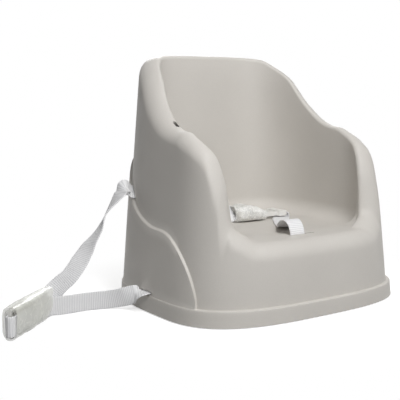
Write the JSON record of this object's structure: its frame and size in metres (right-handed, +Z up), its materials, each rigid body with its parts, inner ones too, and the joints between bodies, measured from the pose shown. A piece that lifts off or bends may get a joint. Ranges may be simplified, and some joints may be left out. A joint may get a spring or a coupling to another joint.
{
  "type": "chair booster seat",
  "caption": "Moulded child booster seat for a dining chair, high wrap-round back, webbing harness on the seat and a strap with side release buckle that ties it to the chair.",
  "frame": {"origin": "middle of the base, on the plane that the four rubber feet stand on", "axes": "-Y towards the open front, +X to the right when looking at the front, +Z up"},
  "size_m": [0.5752, 0.312, 0.344],
  "materials": {
    "shell_plastic": "fine satin grain",
    "foot_rubber": "matt",
    "white_plastic": "semi-gloss",
    "webbing": "woven",
    "clear_film": "clear soft film"
  },
  "bodies": {
    "seat": {"seat_shell": "shell_plastic", "foot_front_right": "foot_rubber", "foot_front_left": "foot_rubber", "foot_rear_right": "foot_rubber", "foot_rear_left": "foot_rubber", "upper_strap_stop": "white_plastic", "lower_strap_stop": "white_plastic", "waist_strap_stop": "white_plastic", "crotch_strap_stop": "white_plastic", "upper_strap": "webbing", "lower_strap": "webbing", "crotch_strap": "webbing", "waist_strap": "webbing", "chair_buckle_socket": "white_plastic", "chair_buckle_sleeve": "clear_film", "harness_buckle_socket": "white_plastic", "harness_buckle_sleeve": "clear_film"},
    "chair_prongs": {"chair_buckle_prongs": "white_plastic"},
    "harness_prongs": {"harness_buckle_prongs": "white_plastic"}
  },
  "joints": [
    {"name": "chair_buckle_release", "type": "slide", "parent": "seat", "child": "chair_prongs", "axis": [-0.745, -0.667, 0], "range_m": [0, 0.027], "deforming": ["lower_strap"]},
    {"name": "harness_buckle_insert", "type": "slide", "parent": "seat", "child": "harness_prongs", "axis": [1, 0, 0], "range_m": [-0.027, 0], "deforming": ["crotch_strap"]}
  ]
}
